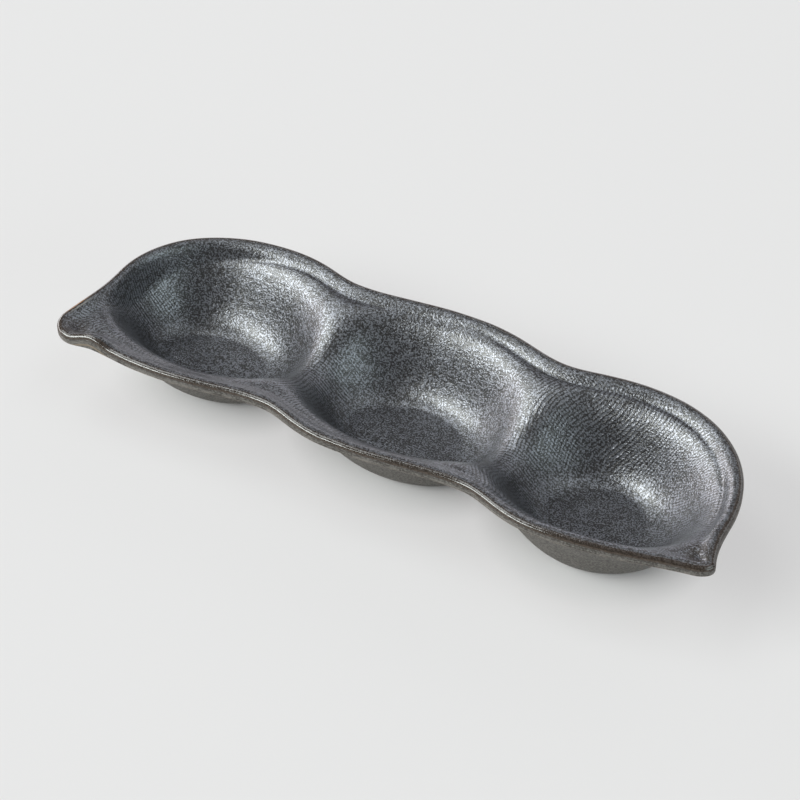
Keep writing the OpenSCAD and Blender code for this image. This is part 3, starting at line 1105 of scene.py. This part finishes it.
@dataclass(frozen=True)
class SpeckledGlaze:
    """Charcoal glaze with silver crystals over the print of a cloth, breaking brown on the lip."""

    name: str = "speckled_charcoal_glaze"
    charcoal: Colour = (0.0112, 0.0091, 0.0095)
    silver: Colour = (0.310, 0.318, 0.352)
    brown: Colour = (0.052, 0.036, 0.026)
    umber: Colour = (0.032, 0.022, 0.015)
    rust: Colour = (0.30, 0.14, 0.055)
    bone: Colour = (0.30, 0.285, 0.26)
    # Painted reflection: the paler violet of the near flange.
    painted_sheen_violet: Colour = (0.134, 0.130, 0.142)
    sienna: Colour = (0.122, 0.088, 0.066)
    grain: Noise = Noise(0.62, 1.5, 0.6)
    mottle: Noise = Noise(2.2, 2.0, 0.55)
    cloud: Noise = Noise(9.0, 3.0, 0.55)
    wander: Noise = Noise(7.0)
    wander_threads: float = 1.1
    thread_edge: float = 3.0
    plain_weave: float = 0.4
    weave_mean: float = 0.62
    weave_silver: float = 0.44
    print_cloud: Pair = (0.38, 0.62)
    print_least: float = 0.4
    crystal_cell: float = 0.9
    crystal_core: Pair = (0.34, 0.12)
    crystal_grain: Pair = (0.42, 0.6)
    crystal_share: float = 0.25
    rise_parts: Three = (0.78, 0.22, 0.1)
    silver_rise: Pair = (0.485, 0.56)
    silver_share: float = 0.9
    silver_lip: Pair = (4.2, 3.0)
    lip_silver_loss: float = 0.5
    lip_waver: Pair = (0.9, 0.6)
    painted_sheen_grain: Pair = (0.38, 0.56)
    painted_sheen_share: Pair = (0.6, 0.16)
    painted_sheen_metal_loss: float = 0.7
    lip_brown: Pair = (3.1, 2.5)
    brown_grain: Pair = (0.3, 0.6)
    brown_share: Pair = (0.5, 0.4)
    lip_burnt: Pair = (1.9, 1.2)
    burnt_grain: Pair = (0.75, 0.4)
    lip_crust: Pair = (1.05, 0.75)
    crust_grain: Pair = (0.36, 0.6)
    crust_share: float = 0.9
    bare_grain: Pair = (0.7, 0.45)
    bare_share: float = 0.9
    lip_pool: Pair = (2.6, 3.4)
    pool_grain: Pair = (0.62, 0.44)
    stem_bone: Pair = (1.7, 1.2)
    bone_share: float = 0.8
    stem_rust: Stripe = (1.3, 1.7, 2.1, 2.5)
    stem_line: Stripe = (3.1, 3.5, 4.0, 4.5)
    rough: float = 0.33
    rough_grain: float = 0.3
    rough_lip: float = -0.17
    metal: float = 0.85
    ior: float = 1.9
    print_bump: float = 0.13
    grain_bump: float = 0.2
    relief_parts: Pair = (0.8, 0.8)
    rim_smooth: float = 0.55
    burnt_smooth: float = 0.3
    crust_rough: float = 0.55
    crust_ior: float = 1.4

    def threads(self, g: Graph, place: Term) -> Term:
        """Height of a plain weave: each cell shows the thread that lies on top there.

        The threads are rounded by the sine of their count, and the sign of the product of both
        sines says which one lies on top. Those that run down a wall stand out. A slow noise lets
        them wander.

        Args:
            g: The node tree.
            place: The place on the piece.

        Returns:
            The height, from 0 to 1.
        """
        uv = g.add("ShaderNodeUVMap", {"uv_map": THREAD_MAP})
        scaled = {0: g.noise(place, self.wander, "Color"), "Scale": self.wander_threads}
        shift = g.add("ShaderNodeVectorMath", {"operation": "SCALE"}, scaled)
        moved = g.add("ShaderNodeVectorMath", {"operation": "ADD"}, {0: uv, 1: shift})
        counts = g.add("ShaderNodeSeparateXYZ", None, {0: moved})
        along, across = ((counts.sibling(axis) * math.pi).sine() for axis in "XY")
        on_top = (along * across * self.thread_edge + 0.5).clamped()
        along, across = along.math("ABSOLUTE"), across.math("ABSOLUTE")
        down = g.value("down_long")
        plain = on_top * along + (1 - on_top) * across
        running = down * across + (1 - down) * along
        return plain * self.plain_weave + running * (1 - self.plain_weave)

    def material(self) -> bpy.types.Material:
        """Build the node material.

        Returns:
            The material, which reads the values of the face's points and the map of the threads.
        """
        g = Graph(self.name)
        place = g.place()
        from_lip = g.value("from_lip")
        grain, mottle, cloud = (g.noise(place, n) for n in (self.grain, self.mottle, self.cloud))
        crystal = g.flecks(place, self.crystal_cell).between(*self.crystal_core)
        weave = self.threads(g, place)

        patches = cloud.graded(self.print_cloud, 1 - self.print_least, self.print_least)
        print_depth = g.value("cloth") * patches
        of_grain, of_mottle, of_cloud = self.rise_parts
        rise = grain * of_grain + mottle * of_mottle + cloud.spread(of_cloud)
        rise = rise + (weave - self.weave_mean) * print_depth * self.weave_silver
        silver = rise.between(*self.silver_rise) * self.silver_share
        silver = silver + crystal * grain.between(*self.crystal_grain) * self.crystal_share
        silver = silver * (1 - from_lip.between(*self.silver_lip) * self.lip_silver_loss)
        silver = silver.clamped()
        body = g.mixed(silver, self.charcoal, self.silver)

        # Painted sheen: the near flange is painted paler violet for the reflection that it shows
        # there.
        painted_sheen = g.value("flange") * grain.graded(self.painted_sheen_grain, *self.painted_sheen_share)
        edge = from_lip + mottle.spread(self.lip_waver[0]) + cloud.spread(self.lip_waver[1])
        rim, burnt = edge.between(*self.lip_brown), edge.between(*self.lip_burnt)
        pooled = g.value("pooled") * edge.between(*self.lip_pool)
        thin = g.value("stem_edge")
        body = g.layered(
            body,
            (painted_sheen, self.painted_sheen_violet),
            (rim * grain.graded(self.brown_grain, *self.brown_share), self.brown),
            (burnt * grain.between(*self.burnt_grain), self.umber),
            (pooled * grain.between(*self.pool_grain), self.umber),
            (thin * edge.between(*self.stem_bone) * self.bone_share, self.bone),
            (thin * edge.stripe(*self.stem_rust), self.rust),
            (thin * edge.stripe(*self.stem_line) * self.bone_share, self.bone),
        )

        woven = g.bump(weave * print_depth, self.print_bump, 1.0)
        relief = grain * self.relief_parts[0] + mottle * self.relief_parts[1]
        relief = relief * (1 - rim * self.rim_smooth - burnt * self.burnt_smooth)
        glaze = g.surface(
            body,
            Metallic=silver * self.metal * (1 - rim) * (1 - painted_sheen * self.painted_sheen_metal_loss),
            Roughness=self.rough + grain.spread(self.rough_grain) + rim * self.rough_lip,
            IOR=self.ior,
            Normal=g.bump(relief, self.grain_bump, 1.0, woven),
        )
        sandy = grain.between(*self.crust_grain) * self.crust_share
        crust = g.mixed(pooled, g.mixed(sandy, self.umber, self.sienna), self.charcoal)
        crust = g.surface(crust, Roughness=self.crust_rough, IOR=self.crust_ior)
        bare = edge.between(*self.lip_crust).math("MAXIMUM", pooled)
        bare = bare * grain.between(*self.bare_grain) * self.bare_share
        return g.finished(g.add("ShaderNodeMixShader", None, {0: bare, 1: glaze, 2: crust}))


@dataclass(frozen=True)
class MattGlaze:
    """Thin taupe glaze with fine wiping lines, tan where it breaks over the lip."""

    name: str = "matt_taupe_glaze"
    taupe: Colour = (0.140, 0.129, 0.116)
    umber: Colour = (0.052, 0.045, 0.038)
    ash: Colour = (0.26, 0.245, 0.224)
    tan: Colour = (0.32, 0.25, 0.18)
    # Painted light: a lighter band down the lip's outer face, where the floor's light falls on it.
    painted_floor_light: Colour = (0.27, 0.245, 0.225)
    grain: Noise = Noise(0.8, 2.0, 0.6)
    cloud: Noise = Noise(8.0, 3.0, 0.55)
    taupe_grain: Pair = (0.42, 0.58)
    line_turns: float = 5.2
    line_waver: float = 14.0
    line_wave: Pair = (-0.2, 0.8)
    line_grain: Pair = (0.3, 0.65)
    line_share: float = 0.6
    line_relief: float = 0.5
    ash_cloud: Pair = (0.5, 0.75)
    ash_share: float = 0.2
    lip_waver: float = 0.9
    lip_burnt: Pair = (1.0, 0.4)
    burnt_grain: Pair = (0.7, 0.4)
    burnt_share: float = 0.6
    lip_tan: Stripe = (2.1, 2.5, 2.9, 3.3)
    tan_waver: float = 0.5
    tan_share: float = 0.7
    lip_painted_floor_light: Stripe = (0.5, 1.3, 3.2, 4.2)
    painted_floor_light_cloud: Pair = (0.42, 0.62)
    painted_floor_light_share: float = 0.4
    rough: float = 0.62
    rough_grain: float = 0.25
    ior: float = 1.5
    relief: float = 0.2
    relief_strength: float = 0.6

    def material(self) -> bpy.types.Material:
        """Build the node material.

        Returns:
            The material, which reads the attributes from_lip and above_table.
        """
        g = Graph(self.name)
        place = g.place()
        from_lip = g.value("from_lip")
        grain, cloud = g.noise(place, self.grain), g.noise(place, self.cloud)
        wave = (g.value("above_table") * self.line_turns + cloud * self.line_waver).sine()
        lines = wave.between(*self.line_wave) * grain.between(*self.line_grain)
        uneven = grain.spread(self.lip_waver) + cloud.spread(self.lip_waver)
        burnt = (from_lip + uneven).between(*self.lip_burnt) * grain.between(*self.burnt_grain)
        line = (from_lip + uneven * self.tan_waver).stripe(*self.lip_tan)
        # Painted floor light: lighter down the lip's outer face, in patches by the cloud.
        painted_floor_light_band = from_lip.stripe(*self.lip_painted_floor_light) * cloud.between(*self.painted_floor_light_cloud)
        body = g.layered(
            g.mixed(grain.between(*self.taupe_grain), self.umber, self.taupe),
            (lines * self.line_share + cloud.between(*self.ash_cloud) * self.ash_share, self.ash),
            (painted_floor_light_band * self.painted_floor_light_share, self.painted_floor_light),
            (burnt * self.burnt_share, self.umber),
            (line * self.tan_share, self.tan),
        )
        gloss = self.rough + grain.spread(self.rough_grain)
        normal = g.bump(lines * self.line_relief + grain, self.relief, self.relief_strength)
        return g.finished(g.surface(body, Roughness=gloss, IOR=self.ior, Normal=normal))


@dataclass(frozen=True)
class BareClay:
    """Unglazed stoneware: sandy ground with darker and lighter grit."""

    name: str
    sand: Colour
    shade: Colour
    grit: Colour = (0.16, 0.10, 0.055)
    grain: Noise = Noise(0.45, 3.0, 0.65)
    cloud: Noise = Noise(11.0, 3.0, 0.5)
    sand_mix: Pair = (0.35, 0.65)
    grit_cell: float = 1.3
    grit_core: Pair = (0.22, 0.1)
    grit_share: float = 0.7
    grit_relief: float = 0.4
    rough: float = 0.82
    rough_grain: float = 0.15
    relief: float = 0.1
    relief_strength: float = 0.6

    def material(self) -> bpy.types.Material:
        """Build the node material.

        Returns:
            The material, which reads the place on the piece alone.
        """
        g = Graph(self.name)
        place = g.place()
        grain, cloud = g.noise(place, self.grain), g.noise(place, self.cloud)
        grit = g.flecks(place, self.grit_cell).between(*self.grit_core)
        sandy = (grain * 0.5 + cloud * 0.5).between(*self.sand_mix)
        body = g.mixed(grit * self.grit_share, g.mixed(sandy, self.shade, self.sand), self.grit)
        gloss = self.rough + grain.spread(self.rough_grain)
        normal = g.bump(grain + grit * self.grit_relief, self.relief, self.relief_strength)
        return g.finished(g.surface(body, Roughness=gloss, Normal=normal))


Finish = SpeckledGlaze | MattGlaze | BareClay


# Pieces


def settle(piece: bpy.types.Object, finish: Finish, slot: Slot, node: str) -> bpy.types.Object:
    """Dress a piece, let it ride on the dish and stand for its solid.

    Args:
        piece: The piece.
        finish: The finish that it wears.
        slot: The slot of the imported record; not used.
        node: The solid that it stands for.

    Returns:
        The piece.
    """
    piece.data.materials.append(finish.material())
    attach(piece, BODY)
    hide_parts(node)
    LOG.info("%s stands for %s: %d faces", piece.name, node, len(piece.data.polygons))
    return piece


@dataclass
class Shell:
    """The pressed clay and the two coats of glaze over it."""

    surface: PodSurface
    hidden_step: int = 4
    clay_step: int = 2

    def solid(
        self, name: str, grid: Grid, closing: Closing, threads: Array | None = None
    ) -> bpy.types.Object:
        """Close a grid into a piece and bring it into the part's frame.

        Args:
            name: Name of the piece.
            grid: Rows of the piece, all the way round.
            closing: How the rows close.
            threads: Places on the cloth for the grid's points.

        Returns:
            The piece.
        """
        rows, columns = grid.points.shape[:2]
        kept, *faces = closed_faces(rows, columns, closing, self.surface.middle_step)
        points = grid.points.reshape(-1, 3)[kept] + self.surface.form.centring
        values = {key: number.reshape(-1)[kept] for key, number in grid.values.items()}
        uv = None if threads is None else threads.reshape(-1, 2)[kept]
        return make_piece(name, points, faces, values, uv)

    def speckled_coat(self, finish: SpeckledGlaze) -> bpy.types.Object:
        """The coat over the wells, the land and the lip: its glazed face and its back on the clay.

        Args:
            finish: The glaze.

        Returns:
            The piece.
        """
        face = self.surface.top(0.0).turned()
        back = self.surface.top(self.surface.form.glaze).turned(self.hidden_step).turned()
        grid = face.joined(back)
        threads = self.surface.threads(grid.points)
        piece = self.solid("speckled_coat", grid, Closing.ON_MIDDLE_LINE, threads)
        return settle(piece, finish, Slot.DARK_GLAZE, "inner_glaze")

    def matt_coat(self, finish: MattGlaze) -> bpy.types.Object:
        """The coat from the lip down to the bases: its face and its back on the clay.

        Args:
            finish: The glaze.

        Returns:
            The piece.
        """
        face = self.surface.under(0.0, to_middle=False)
        back = self.surface.under(self.surface.form.glaze, to_middle=False)
        grid = face.joined(back.turned(self.hidden_step))
        piece = self.solid("matt_coat", grid, Closing.ON_ITSELF)
        return settle(piece, finish, Slot.MATT_GLAZE, "outer_glaze")

    def pressed_clay(self, finish: BareClay) -> bpy.types.Object:
        """The clay between the coats, bare on its bases and along the middle below the saddles.

        Args:
            finish: The clay.

        Returns:
            The piece.
        """
        glaze = self.surface.form.glaze
        top, under = self.surface.top(glaze), self.surface.under(glaze, to_middle=True)
        grid = Grid(top.points, {}).turned(self.clay_step).joined(under)
        piece = self.solid("pressed_clay", grid, Closing.ON_MIDDLE_LINE)
        return settle(piece, finish, Slot.STONEWARE, "clay_tray")


@dataclass
class FootRing:
    """A low ring of bare clay under one well, with softened edges."""

    form: PodForm
    well: int
    name: str
    node: str
    soft_edge: float = 0.35
    steps_round: int = 192
    steps_edge: int = 6

    def profile(self) -> tuple[Array, Array]:
        """Section of the ring: a low rectangle whose four corners are quarter rounds.

        Returns:
            Distance inwards from the outer edge and height, both going once round the section.
        """
        r, w, h = self.soft_edge, self.form.foot_width, self.form.foot_height
        quarter = np.linspace(0, math.pi / 2, self.steps_edge)
        angles = np.concatenate([quarter + k * math.pi / 2 for k in range(4)])
        centre_in = np.repeat([r, r, w - r, w - r], self.steps_edge)
        centre_up = np.repeat([r, h - r, h - r, r], self.steps_edge)
        return centre_in - r * np.sin(angles), centre_up - r * np.cos(angles)

    def build(self, finish: BareClay) -> bpy.types.Object:
        """Carry the section round the oval: half sizes shrink by the distance inwards.

        Args:
            finish: The clay that it is made of.

        Returns:
            The piece.
        """
        well = self.form.wells[self.well]
        inwards, up = (row[:, None] for row in self.profile())
        long, wide = (size - self.form.glaze_wipe - inwards for size in well.base)
        turn = -2 * math.pi * np.arange(self.steps_round) / self.steps_round
        cx, cy = well.centre(Face.UNDER)
        x, y = cx + long * np.cos(turn), cy + wide * np.sin(turn)
        points = np.dstack([x, y, np.broadcast_to(up, x.shape)]).reshape(-1, 3)
        kept, quads, _ = closed_faces(len(up), self.steps_round, Closing.ON_ITSELF)
        piece = make_piece(self.name, points[kept] + self.form.centring, [quads])
        return settle(piece, finish, Slot.BARE_CLAY, self.node)


# Studio: angles are in degrees, lengths in metres


def hang(name: str, thing: bpy.types.ID, target: Vector, view: Three) -> bpy.types.Object:
    """Hang a lamp or a camera so that it faces the target.

    Args:
        name: Name of the object.
        thing: The lamp or the camera.
        target: The point that it faces.
        view: Azimuth, elevation and distance from the target.

    Returns:
        The object, linked into the scene.
    """
    a, e = math.radians(view[0]), math.radians(view[1])
    way = Vector((math.sin(a) * math.cos(e), -math.cos(a) * math.cos(e), math.sin(e)))
    holder = bpy.data.objects.new(name, thing)
    holder.location = target + way * view[2]
    holder.rotation_euler = (-way).to_track_quat("-Z", "Y").to_euler()
    bpy.context.scene.collection.objects.link(holder)
    return holder


@dataclass(frozen=True)
class Softbox:
    """A rectangular lamp that faces the dish."""

    name: str
    azimuth: float
    elevation: float
    width: float
    height: float
    radiance: float
    colour: Colour
    distance: float = 6.0

    def place(self, target: Vector) -> None:
        """Put the lamp at its distance and turn it to the target.

        Args:
            target: The point that it faces.
        """
        lamp = bpy.data.lights.new(self.name, "AREA")
        lamp.shape = "RECTANGLE"
        lamp.size, lamp.size_y = self.width, self.height
        lamp.energy = self.radiance * math.pi * self.width * self.height
        lamp.color = self.colour
        hang(self.name, lamp, target, (self.azimuth, self.elevation, self.distance))


@dataclass(frozen=True)
class Studio:
    """Pale floor, lamps, sky and camera."""

    floor_colour: Colour = (0.80, 0.79, 0.79)
    floor_glow: float = 0.6
    floor_nook: float = 0.015
    nook_samples: int = 4
    floor_half: float = 6.0
    sky: Colour = (0.10, 0.10, 0.10)
    view: Three = (30.0, 44.0, 0.95)
    target: Three = (-0.00881, 0.00509, 0.018)
    lens: float = 111.15
    sensor: float = 36.0
    clip: Pair = (0.05, 50.0)
    lamps: tuple[Softbox, ...] = (
        Softbox("key_softbox", 312.0, 35.0, 5.3, 2.4, 8.3, (0.955, 1.0, 0.975)),
        Softbox("side_panel", 265.0, 9.0, 6.6, 2.1, 4.3, (1.0, 0.97, 0.97)),
        Softbox("far_panel", 212.0, 7.0, 5.4, 2.2, 1.0, (1.0, 0.97, 1.04)),
        Softbox("level_panel", 208.0, 46.0, 3.4, 2.2, 0.16, (0.97, 0.97, 1.08)),
        Softbox("upper_panel", 262.0, 60.0, 2.8, 2.8, 3.0, (0.95, 1.0, 1.0)),
        Softbox("right_strip", 74.0, 18.0, 5.8, 1.7, 2.6, (0.86, 1.0, 1.0)),
        Softbox("back_panel", 160.0, 25.0, 8.5, 2.7, 0.9, (0.98, 1.0, 1.03)),
        Softbox("high_panel", 105.0, 62.0, 4.5, 2.7, 1.3, (0.92, 1.0, 1.02)),
    )

    def floor_material(self) -> bpy.types.Material:
        """Pale matt floor, with a glow that lightens its shadows and fades where the dish is close.

        Returns:
            The material, which glows only for the camera, reflections and what shows through glass.
        """
        g = Graph("pale_floor")
        colour = (*self.floor_colour, 1.0)
        lit = g.add("ShaderNodeBsdfDiffuse", None, {"Color": colour})
        glow = g.add("ShaderNodeEmission", None, {"Color": colour, "Strength": 1.0})
        seen = path = g.add("ShaderNodeLightPath", output="Is Camera Ray")
        for kind in ("Is Glossy Ray", "Is Transmission Ray"):
            seen = seen.math("MAXIMUM", path.sibling(kind))
        nook = {"Distance": self.floor_nook}
        open_sky = g.add("ShaderNodeAmbientOcclusion", {"samples": self.nook_samples}, nook, "AO")
        share = seen * open_sky * self.floor_glow
        return g.finished(g.add("ShaderNodeMixShader", None, {0: share, 1: lit, 2: glow}))

    def floor(self) -> bpy.types.Object:
        """Level sheet under the dish.

        Returns:
            The floor, which is no part of the dish.
        """
        h = self.floor_half
        mesh = bpy.data.meshes.new("floor")
        mesh.from_pydata([(-h, -h, 0), (h, -h, 0), (h, h, 0), (-h, h, 0)], [], [(0, 1, 2, 3)])
        mesh.materials.append(self.floor_material())
        floor = bpy.data.objects.new("floor", mesh)
        bpy.context.scene.collection.objects.link(floor)
        return floor

    def world(self) -> None:
        """Even, weak light from all round."""
        world = bpy.data.worlds.new("studio")
        bpy.context.scene.world = world
        world.use_nodes = True
        background = world.node_tree.nodes["Background"]
        background.inputs["Color"].default_value = (*self.sky, 1.0)

    def camera(self) -> None:
        """Camera at the viewing angle, aimed at the target."""
        camera = bpy.data.cameras.new("camera")
        camera.lens, camera.sensor_width = self.lens, self.sensor
        camera.clip_start, camera.clip_end = self.clip
        bpy.context.scene.camera = hang("camera", camera, Vector(self.target), self.view)

    def build(self) -> None:
        """Set up the floor, the light, the camera and the plain view transform."""
        self.floor()
        self.world()
        for lamp in self.lamps:
            lamp.place(Vector(self.target))
        self.camera()
        bpy.context.scene.view_settings.view_transform = "Standard"


def main() -> None:
    """Load the frame, build and dress every piece, and set up the studio."""
    logging.basicConfig(level=logging.INFO, format="%(name)s: %(message)s")
    for item in list(bpy.data.objects):
        bpy.data.objects.remove(item)
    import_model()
    form = PodForm()
    shell = Shell(PodSurface(form))
    stoneware = BareClay("stoneware", sand=(0.40, 0.29, 0.18), shade=(0.28, 0.19, 0.11))
    shell.pressed_clay(stoneware)
    shell.speckled_coat(SpeckledGlaze())
    shell.matt_coat(MattGlaze())
    sanded = BareClay("sanded_clay", sand=(0.66, 0.55, 0.40), shade=(0.46, 0.35, 0.22))
    for well, end in enumerate(("stem", "middle", "tip")):
        FootRing(form, well, f"bare_ring_{end}", f"foot_ring_{end}").build(sanded)
    Studio().build()


if __name__ == "__main__":
    main()
